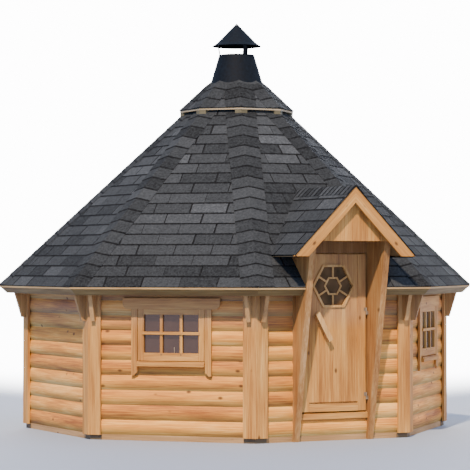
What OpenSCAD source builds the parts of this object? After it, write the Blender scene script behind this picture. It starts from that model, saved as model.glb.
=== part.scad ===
// Octagonal log garden cabin with a porch dormer over its door and a smoke cap on its roof.
// The door wall faces -Y, the ground is z = 0 and the axis of the octagon is Z.

/* [Walls] */
// Distance from the axis to the outer face of the corner boards
corner_out = 2292; // [2150:2:2400]
// Thickness of a wall from its inner face to the crown of a log
wall_t = 45; // [38:1:60]
// Height of one log
log_pitch = 160; // [120:5:180]
// Bulge of a log's outer face
log_crown = 20; // [12:0.5:22]
// Width of one corner board
corner_w = 145; // [110:5:170]
// Thickness of the corner boards and the window casings
trim_t = 28; // [22:1:36]
// Height of the corner boards' feet above the ground
corner_z = 55; // [40:5:60]

/* [Base] */
// Height of the sill frame and the joists
sill_h = 60; // [50:5:100]
// Width of the sill frame's timbers
sill_w = 95; // [80:5:140]
// Setback of the sill frame behind the crowns of the logs
sill_set = 16; // [10:1:25]
// Thickness of the floor boards
floor_t = 28; // [20:1:40]
// Width of a joist
joist_w = 70; // [45:5:100]
// Spacing of the joists
joist_pitch = 700; // [400:50:900]

/* [Roof] */
// Pitch of the main roof and the smoke cap
roof_pitch = 45.2; // [42:0.1:48]
// Overhang of the eave beyond the corner boards
eave_over = 254; // [220:2:300]
// Height of the deck's upper edge at the eave
eave_z = 1645; // [1590:1:1680]
// Thickness of the roof deck
deck_t = 14; // [12:1:24]
// Thickness of the shingle cover
cover_t = 8; // [5:1:12]
// Depth of the fascia board
fascia_w = 103; // [80:1:115]
// Thickness of the fascia board
fascia_t = 22; // [16:1:28]
// Setback of the fascia behind the edge of the deck
fascia_set = 10; // [5:1:20]
// Half-width of the smoke opening at the top of the deck
smoke_out = 420; // [380:5:460]
// Thickness of a hip rafter
rafter_t = 45; // [38:1:60]
// Depth of a hip rafter
rafter_h = 120; // [90:5:150]
// Half-width of the hip shingles, seen from above
hip_w = 165; // [120:5:200]
// Thickness of the hip shingles
hip_t = 8; // [5:1:12]

/* [Eave brackets] */
// Thickness of a bracket
bracket_t = 45; // [35:1:60]
// Height of a bracket's foot above the ground
bracket_z = 1280; // [1200:10:1400]
// Depth of a bracket at its foot
bracket_foot = 46; // [40:2:60]
// Depth of a bracket at the roof
bracket_head = 176; // [140:2:190]

/* [Smoke cap] */
// Half-width of the cap roof at its eave
cap_out = 613; // [580:1:660]
// Rise of the cap's deck above the main roof's deck
cap_lift = 83; // [70:1:110]
// Width of the blocks that carry the cap
block_w = 140; // [90:5:160]
// Length of those blocks, seen from above
block_l = 150; // [100:5:160]
// Setback of those blocks behind the cap's edge
block_set = 3; // [0:1:12]

/* [Chimney] */
// Radius of the flue cone at its foot
cone_r = 306; // [285:1:320]
// Radius of the flue cone at its mouth
mouth_r = 206; // [180:1:230]
// Height of the flue cone
cone_h = 335; // [290:1:350]
// Width of the flange under the cone
flange_w = 36; // [30:1:45]
// Thickness of the sheet metal
sheet_t = 3; // [2:0.5:5]
// Clear height between the cone's mouth and the hat's rim
hat_gap = 105; // [80:1:130]
// Radius of the hat's rim
hat_r = 286; // [260:1:300]
// Radius where the hat's flare ends
flare_r = 232; // [220:1:245]
// Height of the hat's flare
flare_h = 35; // [25:1:50]
// Height of the hat above its flare
hat_h = 237; // [180:1:260]
// Width of a strut, as an angle round the axis
strut_angle = 11; // [8:1:16]
// Thickness of a strut
strut_t = 5; // [3:0.5:8]
// Lap of a strut inside the cone
strut_lap = 80; // [50:5:120]

/* [Porch] */
// Gap between the door leaf and a cheek
jamb_gap = 20; // [15:1:30]
// Thickness of a cheek
cheek_t = 70; // [50:2:80]
// Setback of a cheek's foot behind the corner boards
cheek_set = 15; // [5:1:20]
// Depth of a cheek behind the wall's inner face
cheek_tail = 20; // [10:1:30]
// Pitch of the dormer roof
dormer_pitch = 45; // [43:0.5:47]
// Height of the dormer's ridge above the door leaf
dormer_over = 712; // [680:2:760]
// Overhang of the dormer's deck beyond the cheeks
dormer_eave = 230; // [200:2:250]
// Reach of the barge boards beyond the corner boards
barge_over = 455; // [430:5:480]
// Thickness of the barge boards
barge_t = 25; // [18:1:32]
// Width of the barge boards
barge_w = 122; // [100:2:140]
// Reach of the barge boards' lower ends beyond the edge of the dormer's deck
barge_tail = 18; // [10:1:30]
// Reach of the gable panel beyond the corner boards
gable_over = 380; // [360:5:400]
// Thickness of the gable panel
gable_t = 20; // [15:1:28]
// Height of the gable panel's lower edge above the door leaf
gable_lift = 136; // [110:2:160]

/* [Door] */
// Width of the door leaf
door_w = 800; // [760:5:820]
// Height of the door leaf
door_h = 1686; // [1620:2:1700]
// Height of the leaf's lower edge above the ground
door_z = 314; // [300:2:330]
// Thickness of the leaf at its stiles
door_t = 40; // [34:1:50]
// Setback of the leaf behind the corner boards
door_set = 18; // [14:1:24]
// Clearance round the leaf
door_gap = 8; // [6:1:12]
// Width of the stiles
stile_w = 100; // [80:5:120]
// Step from the stiles to the boarded field
stile_step = 6; // [3:1:10]
// Height of the rail at the foot of the leaf
rail_h = 85; // [70:1:100]
// Reach of that rail in front of the boarded field
rail_t = 10; // [6:1:16]
// Height of the shadow gap between the rail and the field
rail_gap = 14; // [8:1:20]
// Depth of the shadow gap
rail_gap_t = 12; // [6:1:16]
// Reach of the door stops in from the cheeks
stop_w = 50; // [35:1:60]
// Thickness of the door stops
stop_t = 30; // [20:1:35]

/* [Door light and handle] */
// Width of the six-sided glass across its flats
light_w = 408; // [360:2:430]
// Drop of the glass's centre below the top of the leaf
light_drop = 343; // [320:1:380]
// Width of the moulding round the glass
light_frame = 25; // [20:1:32]
// Thickness of the moulding's inner ring
light_ring = 10; // [6:1:12]
// Reach of the moulding beyond the field
light_proud = 14; // [8:1:18]
// Thickness of the panes
glass_t = 6; // [4:1:10]
// Length of the handle bar
grip_l = 340; // [320:5:400]
// Width of the handle bar
grip_w = 55; // [40:1:65]
// Thickness of the handle bar
grip_t = 30; // [24:1:36]
// Stand-off of the handle bar from the field
grip_off = 40; // [30:1:50]
// Lean of the handle bar from upright
grip_lean = 29; // [20:1:40]
// Distance of the handle bar's middle from the door's centre line
grip_x = 145; // [135:1:165]
// Drop of the handle bar's middle below the middle of the door's glass
grip_drop = 435; // [425:1:470]

/* [Hinges] */
// Height of the lower hinge
hinge_z1 = 470; // [430:5:540]
// Height of the upper hinge
hinge_z2 = 1385; // [1320:5:1450]
// Length of half a hinge
hinge_l = 38; // [30:1:50]
// Width of the hinge flap on the leaf
flap_w = 26; // [20:1:40]
// Thickness of the hinge plates
flap_t = 2.5; // [2:0.5:4]
// Radius of the hinge barrel
barrel_r = 8; // [7:0.5:9]
// Radius of the hinge pin
pin_r = 5; // [4:0.5:6]

/* [Windows] */
// Half-width of the sash
sash_half = 365; // [340:1:380]
// Width of the sash's stiles and top rail
sash_w = 55; // [45:1:65]
// Height of the sash's bottom rail
sash_foot = 85; // [70:1:100]
// Depth of the sash
sash_t = 38; // [30:1:42]
// How far the sash stands out from the logs
sash_proud = 14; // [8:1:20]
// Height of the sill board's upper edge
window_z = 858; // [840:1:880]
// Height of the sash's upper edge
window_top = 1409; // [1390:1:1430]
// Gap in plan between the sash and the casing boards
casing_gap = 17; // [10:1:24]
// Width of the casing boards
casing_w = 70; // [60:1:80]
// Height of the casing boards' lower ends
casing_z = 700; // [680:2:740]
// Chamfer at the lower ends of the casing boards
casing_cut = 40; // [25:1:50]
// Half-length of the head board
head_half = 550; // [530:2:580]
// Height of the head board
head_h = 131; // [110:1:150]
// Radius of the scroll at the head board's ends
head_scroll = 62; // [40:1:80]
// Height of the sill board
sill_board_h = 59; // [45:1:70]
// Reach of the sill board in front of the logs
sill_reach = 58; // [40:1:70]

/* [Hidden] */
sides = 8;
turn = 360 / sides;
half_turn = turn / 2;
// Joint left between pieces that butt against each other
seam = 0.3;
// Overrun of every cut past the faces that it opens
overrun = 20;
pin_clear = 0.08;
hinge_clear = 0.5;
axis_gap_x = 2;
web_t = 6;
$fn = 64;

log_out = corner_out - trim_t;
wall_in = log_out - wall_t;
log_r = (pow(log_pitch / 2, 2) + pow(log_crown, 2)) / (2 * log_crown);
corner_half = corner_out * tan(half_turn);
sill_out = log_out - sill_set;
sill_in = sill_out - sill_w;
floor_z = sill_h + floor_t;

eave_out = corner_out + eave_over;
far = 2 * eave_out;
rise = tan(roof_pitch);
deck_v = deck_t / cos(roof_pitch);
cover_v = cover_t / cos(roof_pitch);
hip_v = hip_t / cos(roof_pitch);

door_out = corner_out - door_set;
door_field = door_out - stile_step;
field_half = door_w / 2 - stile_w;
door_in = door_out - door_t;
door_top = door_z + door_h;
head_z = door_top + door_gap;
sill_log_z = sill_h + log_pitch;
stop_out = door_in - door_gap;
axis_x = door_w / 2 + axis_gap_x;
axis_out = door_out + barrel_r + axis_gap_x;
light_r = light_w / 2 / cos(30);
light_out_r = (light_w / 2 + light_frame) / cos(30);
light_hole_r = (light_w / 2 + light_ring) / cos(30);

light_z = door_top - light_drop;
grip_z = light_z - grip_drop;

cheek_in = door_w / 2 + jamb_gap;
cheek_out = cheek_in + cheek_t;
cheek_back = wall_in - cheek_tail;
cheek_foot = corner_out - cheek_set;
gable_out = corner_out + gable_over;
gable_back = gable_out - gable_t;
gable_z = door_top + gable_lift;
dormer_z = door_top + dormer_over;
dormer_half = cheek_out + dormer_eave;
barge_out = corner_out + barge_over;
barge_back = barge_out - barge_t;
barge_v = barge_w / cos(dormer_pitch);
dormer_rise = tan(dormer_pitch);
dormer_deck_v = deck_t / cos(dormer_pitch);
dormer_cover_v = cover_t / cos(dormer_pitch);

casing_in = sash_half + casing_gap;
casing_out = casing_in + casing_w;
sash_out = log_out + sash_proud;
glass_out = sash_out - sash_t / 2;

// The walls on both sides of the door wall have a window
function has_window(k) = k == 1 || k == sides - 1;
function window_side(i) = i == 0 ? 1 : sides - 1;
// Heights of the main roof's deck at a distance from the axis, and the reverse
function roof_z(out) = eave_z + (eave_out - out) * rise;
function under_z(out) = roof_z(out) - deck_v;
function roof_out(z) = eave_out - (z - eave_z) / rise;
// Top of a piece that carries the deck
function rest_z(out) = under_z(out) - seam;
// Height of the cap's deck at a distance from the axis
function cap_z(out) = roof_z(out) + cap_lift;
// Heights of the dormer's deck at a distance from its ridge
function dormer_top(x) = dormer_z - x * dormer_rise;
function dormer_under(x) = dormer_top(x) - dormer_deck_v;
// Outline of a sloping layer between two distances, from lo to hi above the deck
function layer(in, out, lo, hi) = [
    [out, roof_z(out) + lo],
    [out, roof_z(out) + hi],
    [in, roof_z(in) + hi],
    [in, roof_z(in) + lo]
];

barge_end = dormer_half + barge_tail;
barge_z = dormer_top(barge_end);
notch_half = cheek_out + seam;
// The slot for the porch ends where the dormer meets the roof, but never in front of the door head
notch_out = min(roof_out(dormer_under(cheek_out)), cheek_back);
// The cap is cut level where the cone's foot meets its shingles
seat_z = cap_z(cone_r) + cover_v;
cone_z = seat_z + seam;
mouth_z = cone_z + cone_h;
rim_z = mouth_z + hat_gap;
top_z = rim_z + flare_h + hat_h;

wood = "burlywood";
log_wood = "peru";
shade_wood = "tan";
dark = "dimgray";
metal = "darkslategray";

roof_names = ["front", "front_right", "right", "back_right", "back", "back_left", "left", "front_left"];
window_names = ["right", "left"];

// Turns its children to face side k, or the hip that follows side k
module side(k) { rotate([0, 0, turn * k]) children(); }
module hip(k) { rotate([0, 0, turn * k + half_turn]) children(); }

// Extrudes an outline of distances and heights sideways along a wall
module along(length, x = 0) {
    translate([x, 0, 0])
        rotate([90, 0, -90])
            linear_extrude(height = length, center = true)
                children();
}

// Extrudes an outline drawn on a wall outwards between two distances
module plate(in, out) {
    translate([0, -in, 0])
        rotate([90, 0, 0])
            linear_extrude(height = out - in)
                children();
}

// Octagonal prism with a given distance across its flats, halved
module octagon(out, height) {
    rotate([0, 0, half_turn])
        cylinder(r = out / cos(half_turn), h = height, $fn = sides);
}

// Room of one side between the mitre planes at its two hips
module wedge() {
    translate([0, -seam / 2 / sin(half_turn), -overrun])
        linear_extrude(height = top_z + overrun)
            polygon([[0, 0], [far * tan(half_turn), -far], [-far * tan(half_turn), -far]]);
}

// A piece of one side, mitred at both hips
module mitred(k) {
    side(k) intersection() {
        along(2 * far) children();
        wedge();
    }
}

// Both halves of a piece folded over a hip; the outline is given for either side
module folded(k, width, x_from = 0) {
    hip(k) for (flip = [0, 1]) mirror([flip, 0, 0]) intersection() {
        rotate([0, 0, -half_turn]) along(far, x_from + far / 2) children();
        translate([-width, -far, -overrun]) cube([width, far, top_z + overrun]);
    }
}

// Room below the dormer's deck
module under_dormer() {
    plate(0, barge_out) polygon([
        [-dormer_half, 0],
        [dormer_half, 0],
        [dormer_half, dormer_under(dormer_half)],
        [0, dormer_under(0)],
        [-dormer_half, dormer_under(dormer_half)]
    ]);
}

// Room of the main roof's front side up to its shingles
module below_front_roof() {
    lift = cover_v + seam;
    along(far) polygon([
        [0, 0],
        [eave_out, 0],
        [eave_out, roof_z(eave_out) + lift],
        [0, roof_z(0) + lift]
    ]);
}

// Slot for the porch in the front side of the roof
module porch_slot() {
    translate([-notch_half, -far, 0]) cube([2 * notch_half, far - notch_out, top_z]);
}

// Outline of stacked logs up to the underside of the roof deck
module log_stack() {
    count = ceil((under_z(wall_in) - sill_h) / log_pitch);
    intersection() {
        union() for (i = [0:count - 1]) translate([0, sill_h + i * log_pitch]) intersection() {
            translate([wall_in, 0]) square([wall_t, log_pitch]);
            translate([log_out - log_r, log_pitch / 2]) circle(r = log_r, $fn = 128);
        }
        polygon([[wall_in, 0], [log_out, 0], [log_out, rest_z(log_out)], [wall_in, rest_z(wall_in)]]);
    }
}

module window_hole() {
    half = sash_half + seam;
    translate([-half, -far, window_z]) cube([2 * half, far, window_top + seam - window_z]);
}

module floor_joists() {
    count = floor((sill_in - joist_w) / joist_pitch);
    color(shade_wood) intersection() {
        octagon(sill_in - seam, sill_h);
        for (i = [-count:count])
            translate([i * joist_pitch - joist_w / 2, -far / 2, 0]) cube([joist_w, far, sill_h]);
    }
}

// Slots for the feet of the porch cheeks
module cheek_slots() {
    depth = far - cheek_back + seam;
    for (s = [0, 1]) mirror([s, 0, 0])
        translate([cheek_in - seam, -far, -overrun]) cube([cheek_t + 2 * seam, depth, top_z]);
}

module floor_deck() {
    color(wood) difference() {
        translate([0, 0, sill_h]) octagon(wall_in - seam, floor_t);
        cheek_slots();
    }
}

module sill_frame() {
    color(dark) difference() {
        for (k = [0:sides - 1]) mitred(k) translate([sill_in, 0]) square([sill_w, sill_h]);
        cheek_slots();
    }
}

module log_wall(k) {
    color(log_wood) difference() {
        mitred(k) log_stack();
        if (has_window(k)) side(k) window_hole();
    }
}

module front_wall(s) {
    color(log_wood) intersection() {
        log_wall(0);
        translate([s > 0 ? notch_half : -far, -far, 0]) cube([far - notch_half, far, top_z]);
    }
}

module door_log() {
    color(log_wood) intersection() {
        along(2 * (cheek_in - seam)) log_stack();
        translate([-far / 2, -far, 0]) cube([far, far, sill_log_z]);
    }
}

module door_threshold() {
    board_z = door_z - door_gap;
    reach = door_out + stile_step;
    step = (board_z - sill_log_z) / 6;
    color(wood) along(2 * (cheek_in - seam)) polygon([
        [wall_in, sill_log_z],
        [log_out - log_crown, sill_log_z],
        [log_out - log_crown, sill_log_z + step],
        [reach, sill_log_z + step],
        [reach, board_z - step],
        [door_in, board_z],
        [wall_in, board_z]
    ]);
}

// Tapered side board of the porch, from the ground up through the eave to the dormer
module cheek(s) {
    color(wood) intersection() {
        along(cheek_t, s * (cheek_in + cheek_t / 2)) polygon([
            [cheek_back, 0],
            [cheek_foot, 0],
            [gable_back, gable_z],
            [gable_back, dormer_under(0)],
            [notch_out + seam, dormer_under(0)],
            [notch_out + seam, rest_z(notch_out)],
            [cheek_back, rest_z(cheek_back)]
        ]);
        under_dormer();
    }
}

module door_head() {
    half = cheek_in - seam;
    color(wood) intersection() {
        plate(wall_in, log_out) translate([-half, head_z]) square([2 * half, dormer_z - head_z]);
        under_dormer();
    }
}

module door_stops() {
    foot = door_z - door_gap;
    edge = cheek_in - stop_w;
    color(wood) {
        for (s = [0, 1]) mirror([s, 0, 0]) plate(stop_out - stop_t, stop_out)
            translate([edge, foot]) square([stop_w, head_z - foot]);
        plate(stop_out - stop_t, wall_in)
            translate([-edge + seam, door_top - stop_t]) square([2 * (edge - seam), 2 * stop_t]);
    }
}

module gable_panel() {
    half = (dormer_under(0) - gable_z) / dormer_rise;
    color(wood) plate(gable_back, gable_out)
        polygon([[-half, gable_z], [half, gable_z], [0, dormer_under(0)]]);
}

module barge_boards() {
    mitre = seam / 2;
    color(wood) for (s = [0, 1]) mirror([s, 0, 0]) plate(barge_back, barge_out) polygon([
        [mitre, dormer_top(mitre) - barge_v],
        [(dormer_z - barge_v - barge_z) / dormer_rise, barge_z],
        [barge_end, barge_z],
        [mitre, dormer_top(mitre)]
    ]);
}

module dormer_roof() {
    mitre = seam / 2;
    color(wood) for (s = [0, 1]) mirror([s, 0, 0]) difference() {
        plate(0, barge_back - seam) polygon([
            [mitre, dormer_under(mitre)],
            [dormer_half, dormer_under(dormer_half)],
            [dormer_half, dormer_top(dormer_half)],
            [mitre, dormer_top(mitre)]
        ]);
        below_front_roof();
    }
}

module dormer_shingles() {
    edge = dormer_half + cover_t;
    low = seam;
    high = seam + dormer_cover_v;
    color(dark) difference() {
        plate(0, barge_out + cover_t) polygon([
            [-edge, dormer_top(edge) + low],
            [-edge, dormer_top(edge) + high],
            [0, dormer_top(0) + high],
            [edge, dormer_top(edge) + high],
            [edge, dormer_top(edge) + low],
            [0, dormer_top(0) + low]
        ]);
        below_front_roof();
    }
}

module corner_boards() {
    color(wood) for (k = [0:sides - 1]) folded(k, far, corner_half - corner_w) polygon([
        [log_out, corner_z],
        [corner_out, corner_z],
        [corner_out, rest_z(corner_out)],
        [log_out, rest_z(log_out)]
    ]);
}

module eave_brackets() {
    back = corner_out + seam;
    foot = corner_out + bracket_foot;
    head = corner_out + bracket_head;
    color(wood) for (k = [0:sides - 1]) side(k) for (s = [-1, 1])
        along(bracket_t, s * (corner_half - corner_w / 2)) polygon([
            [back, bracket_z],
            [foot, bracket_z],
            [head, rest_z(head)],
            [back, rest_z(back)]
        ]);
}

// Board under the edge of the deck, square to the slope
module fascia_profile() {
    translate([eave_out, under_z(eave_out)]) rotate(180 - roof_pitch)
        translate([fascia_set, 0]) square([fascia_t, fascia_w]);
}

module fascia_boards() {
    color(shade_wood) difference() {
        for (k = [0:sides - 1]) mitred(k) fascia_profile();
        porch_slot();
    }
}

module roof_panel(k) {
    color(shade_wood) difference() {
        mitred(k) polygon(layer(smoke_out, eave_out, -deck_v, 0));
        if (k == 0) porch_slot();
    }
}

module roof_shingles() {
    color(dark) difference() {
        for (k = [0:sides - 1]) mitred(k) polygon(layer(smoke_out, eave_out, 0, cover_v));
        porch_slot();
    }
}

module hip_shingles() {
    low = cover_v + seam;
    color(dark) for (k = [0:sides - 1])
        folded(k, hip_w) polygon(layer(cap_out, eave_out + hip_t, low, low + hip_v));
}

// Rafter under each hip, backed to both sides of the roof
module hip_rafters() {
    foot = (wall_in - rafter_t / 2 * sin(half_turn) - seam) / cos(half_turn);
    head = smoke_out / cos(half_turn);
    depth = rafter_h / cos(roof_pitch);
    color(wood) for (k = [0:sides - 1]) intersection() {
        hip(k) along(rafter_t) polygon([
            [foot, under_z(foot * cos(half_turn)) - depth],
            [foot, under_z(foot * cos(half_turn))],
            [head, under_z(smoke_out)],
            [head, under_z(smoke_out) - depth]
        ]);
        folded(k, rafter_t) polygon([
            [0, 0],
            [eave_out, 0],
            [eave_out, rest_z(eave_out)],
            [0, rest_z(0)]
        ]);
    }
}

// Ring that the upper ends of the rafters butt against
module smoke_collar() {
    depth = rafter_h / cos(roof_pitch);
    color(wood) difference() {
        translate([0, 0, under_z(smoke_out) - depth]) octagon(smoke_out - seam, depth + deck_v);
        translate([0, 0, under_z(smoke_out) - depth - overrun])
            octagon(smoke_out - rafter_t, depth + deck_v + 2 * overrun);
    }
}

// Ring of eight sloping sides, cut level under the flue cone
module cap_layer(lo, hi) {
    intersection() {
        for (k = [0:sides - 1]) mitred(k) polygon(layer(cone_r / 2, cap_out, cap_lift + lo, cap_lift + hi));
        octagon(far, seat_z);
    }
}

module cap_roof() {
    color(wood) cap_layer(-deck_v, 0);
}

module cap_shingles() {
    color(dark) cap_layer(0, cover_v);
}

// Blocks on the hips of the main roof that carry the cap
module cap_blocks() {
    top = cap_lift - deck_v - seam;
    color(wood) for (k = [0:sides - 1])
        folded(k, block_w / 2) polygon(layer(cap_out - block_l, cap_out - block_set, cover_v + seam, top));
}

module flue_cone() {
    color(metal) rotate_extrude() polygon([
        [cone_r - flange_w, cone_z],
        [cone_r, cone_z],
        [mouth_r, mouth_z],
        [mouth_r - sheet_t, mouth_z],
        [cone_r - sheet_t * 2, cone_z + sheet_t],
        [cone_r - flange_w, cone_z + sheet_t]
    ]);
}

module hat_struts() {
    lean = (cone_r - sheet_t * 2 - mouth_r + sheet_t) / (cone_h - sheet_t);
    inner = mouth_r - sheet_t - seam;
    low = inner + strut_lap * lean;
    hat_slope = (hat_h - sheet_t) / (flare_r - sheet_t);
    end_z = rim_z + flare_h - sheet_t + (flare_r - sheet_t - inner) * hat_slope - seam;
    color(metal) for (i = [0:2]) rotate([0, 0, i * 120 - 90 - strut_angle / 2])
        rotate_extrude(angle = strut_angle) polygon([
            [low, mouth_z - strut_lap],
            [inner, mouth_z],
            [inner, end_z],
            [inner - strut_t, end_z + strut_t * hat_slope],
            [inner - strut_t, mouth_z],
            [low - strut_t, mouth_z - strut_lap]
        ]);
}

module chimney_hat() {
    flare_z = rim_z + flare_h;
    color(metal) rotate_extrude() polygon([
        [hat_r, rim_z],
        [flare_r, flare_z],
        [0, top_z],
        [0, top_z - 2 * sheet_t],
        [flare_r - sheet_t, flare_z - sheet_t],
        [hat_r - sheet_t, rim_z]
    ]);
}

module window_casing(k) {
    sill_top = window_z + seam;
    nose = log_out + sill_reach;
    color(wood) side(k) {
        for (s = [0, 1]) mirror([s, 0, 0]) plate(log_out, corner_out) polygon([
            [casing_in, window_top - seam],
            [casing_in, casing_z + casing_cut],
            [casing_in + casing_cut, casing_z],
            [casing_out, casing_z],
            [casing_out, window_top - seam]
        ]);
        plate(log_out, corner_out) difference() {
            translate([-head_half, window_top]) square([2 * head_half, head_h]);
            for (s = [-1, 1]) translate([s * head_half, window_top]) circle(r = head_scroll);
        }
        along(2 * (casing_in - seam)) polygon([
            [log_out, window_z - sill_board_h],
            [nose, window_z - sill_board_h],
            [nose, window_z - sill_board_h / 3],
            [log_out, window_z]
        ]);
    }
}

module window_sash(k) {
    color(wood) side(k) plate(sash_out - sash_t, sash_out) difference() {
        translate([-sash_half, window_z + seam]) square([2 * sash_half, window_top - seam - window_z]);
        translate([-sash_half + sash_w, window_z + sash_foot])
            square([2 * (sash_half - sash_w), window_top - sash_w - window_z - sash_foot]);
    }
}

module window_glass(k) {
    half = sash_half - sash_w - seam;
    low = window_z + sash_foot + seam;
    color("slategray", 0.6) side(k) plate(glass_out - glass_t, glass_out)
        translate([-half, low]) square([2 * half, window_top - sash_w - seam - low]);
}

// Six-sided outline round the centre of the door light
module light_shape(r) {
    translate([0, light_z]) circle(r = r, $fn = 6);
}

module door_leaf() {
    color(wood) difference() {
        union() {
            plate(door_in, door_field) translate([-door_w / 2, door_z]) square([door_w, door_h]);
            for (s = [0, 1]) mirror([s, 0, 0]) plate(door_in, door_out)
                translate([door_w / 2 - stile_w, door_z]) square([stile_w, door_h]);
        }
        plate(door_in - overrun, door_out + overrun) light_shape(light_hole_r);
        plate(door_field - rail_gap_t, door_field + overrun)
            translate([-field_half, door_z + rail_h]) square([2 * field_half, rail_gap]);
    }
}

module door_rail() {
    half = field_half - seam;
    color(wood) plate(door_field, door_field + rail_t)
        translate([-half, door_z]) square([2 * half, rail_h]);
}

module door_light_frame() {
    front = door_field + light_proud;
    color(wood) difference() {
        union() {
            plate(door_field, front) light_shape(light_out_r);
            plate(door_in, front) light_shape(light_hole_r - seam);
        }
        plate(door_in - overrun, front + overrun) light_shape(light_r);
    }
}

module door_glass() {
    middle = (door_in + door_field) / 2;
    color("slategray", 0.6) plate(middle - glass_t / 2, middle + glass_t / 2) light_shape(light_r - seam);
}

// Leaning wooden bar on two blocks
module door_handle() {
    bar_in = door_field + grip_off;
    color(wood) {
        plate(bar_in, bar_in + grip_t) translate([-grip_x, grip_z]) rotate(grip_lean)
            square([grip_w, grip_l], center = true);
        plate(door_field, bar_in) translate([-grip_x, grip_z]) rotate(grip_lean)
            for (s = [-1, 1]) translate([0, s * grip_l / 3])
                square([grip_w * 0.9, grip_w], center = true);
    }
}

// Flaps on the leaf with barrels that drop over the pins
module door_hinges() {
    color(metal) for (z = [hinge_z1, hinge_z2]) difference() {
        union() {
            translate([axis_x - flap_w, -door_out - flap_t, z + hinge_clear])
                cube([flap_w - barrel_r / 2, flap_t, hinge_l]);
            translate([axis_x - barrel_r, -axis_out, z + hinge_clear])
                cube([barrel_r, axis_out - door_out, hinge_l]);
            translate([axis_x, -axis_out, z + hinge_clear]) cylinder(r = barrel_r, h = hinge_l);
        }
        translate([axis_x, -axis_out, z - overrun])
            cylinder(r = pin_r + pin_clear, h = hinge_l + 2 * overrun);
    }
}

// Barrels with pins, held by plates on the right cheek
module frame_hinges() {
    color(metal) for (z = [hinge_z1, hinge_z2]) translate([0, 0, z - hinge_l]) {
        translate([axis_x, -axis_out, 0]) cylinder(r = barrel_r, h = hinge_l);
        translate([axis_x, -axis_out, 0]) cylinder(r = pin_r, h = 2 * hinge_l);
        translate([axis_x, -axis_out - web_t / 2, 0]) cube([cheek_in - axis_x, web_t, hinge_l]);
        translate([cheek_in - flap_t, -axis_out - flap_w / 2, 0]) cube([flap_t, flap_w, hinge_l]);
    }
}

floor_joists();
floor_deck();
sill_frame();
for (k = [1:sides - 1]) log_wall(k);
front_wall(-1);  // front_wall_left
front_wall(1);  // front_wall_right
door_log();
door_threshold();
cheek(-1);  // left_cheek
cheek(1);  // right_cheek
door_head();
door_stops();
gable_panel();
barge_boards();
dormer_roof();
dormer_shingles();
corner_boards();
eave_brackets();
fascia_boards();
for (k = [0:sides - 1]) roof_panel(k);
roof_shingles();
hip_shingles();
hip_rafters();
smoke_collar();
cap_roof();
cap_shingles();
cap_blocks();
flue_cone();
hat_struts();
chimney_hat();
for (i = [0, 1])
    window_casing(window_side(i));
for (i = [0, 1])
    window_sash(window_side(i));
for (i = [0, 1])
    window_glass(window_side(i));
door_leaf();
door_rail();
door_light_frame();
door_glass();
door_handle();
door_hinges();
frame_hinges();
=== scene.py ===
"""Looks of the octagonal log garden cabin: logs, planed boards, shingles, black sheet metal and glass."""
import math
import random

import bmesh
import bpy
from mathutils import Matrix, Vector


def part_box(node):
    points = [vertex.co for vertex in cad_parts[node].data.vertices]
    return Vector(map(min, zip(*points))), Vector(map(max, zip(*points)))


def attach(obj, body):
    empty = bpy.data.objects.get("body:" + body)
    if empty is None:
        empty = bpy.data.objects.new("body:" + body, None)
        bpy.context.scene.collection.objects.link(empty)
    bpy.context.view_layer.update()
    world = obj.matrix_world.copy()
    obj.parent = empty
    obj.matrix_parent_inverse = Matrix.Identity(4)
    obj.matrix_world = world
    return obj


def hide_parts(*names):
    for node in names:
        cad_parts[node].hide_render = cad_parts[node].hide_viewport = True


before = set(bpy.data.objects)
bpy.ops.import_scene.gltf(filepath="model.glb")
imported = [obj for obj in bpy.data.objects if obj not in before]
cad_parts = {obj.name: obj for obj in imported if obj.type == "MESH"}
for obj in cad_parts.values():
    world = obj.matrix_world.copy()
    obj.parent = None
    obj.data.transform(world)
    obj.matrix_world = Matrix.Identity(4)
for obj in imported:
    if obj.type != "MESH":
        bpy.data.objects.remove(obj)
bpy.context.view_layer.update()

MM = 0.001
SIDES = 8
TURN = math.tau / SIDES
HALF_TURN = TURN / 2
UP = Vector((0, 0, 1))
RIGHT = Vector((1, 0, 0))
FRONT = Vector((0, -1, 0))
ROOF_NAMES = ("front", "front_right", "right", "back_right", "back", "back_left", "left", "front_left")

# Walls: face of the logs and of the boards on them
log_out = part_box("back_wall")[1].y
log_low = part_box("back_wall")[0].z
board_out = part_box("corner_boards")[1].y
sill_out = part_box("sill_frame")[1].y
LOG_PITCH = 160 * MM

# Main roof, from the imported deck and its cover
eave_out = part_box("back_roof")[1].y
smoke_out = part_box("back_roof")[0].y
eave_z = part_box("roof_shingles")[0].z
rise = (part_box("back_roof")[1].z - eave_z) / (eave_out - smoke_out)
pitch = math.atan(rise)

# Smoke cap, on the same pitch
cap_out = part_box("cap_roof")[1].y
cap_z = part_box("cap_shingles")[0].z
cap_top_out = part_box("flue_cone")[1].x

# Porch: cheeks, dormer ridge and the slot in the roof
cheek_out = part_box("right_cheek")[1].x
slot_out = -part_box("right_cheek")[1].y
dormer_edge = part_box("dormer_shingles")[1].x
dormer_front = -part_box("dormer_shingles")[0].y
ridge_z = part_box("dormer_roof")[1].z
dormer_pitch = math.atan2(ridge_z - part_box("dormer_shingles")[0].z, dormer_edge)


def linear(hex_colour):
    """sRGB hex to linear RGBA."""
    parts = [int(hex_colour[i:i + 2], 16) / 255 for i in (1, 3, 5)]
    return [c / 12.92 if c <= 0.04045 else ((c + 0.055) / 1.055) ** 2.4 for c in parts] + [1]


def add(tree, kind, links=None, **settings):
    """Adds a node; settings are its properties, or its inputs by name with _ for spaces; links feed inputs."""
    node = tree.nodes.new(kind)
    for name, value in settings.items():
        if hasattr(node, name):
            setattr(node, name, value)
        else:
            node.inputs[name.replace("_", " ")].default_value = value
    for name, source in (links or {}).items():
        if hasattr(source, "links"):
            tree.links.new(source, node.inputs[name])
        else:
            node.inputs[name].default_value = source
    return node


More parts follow.
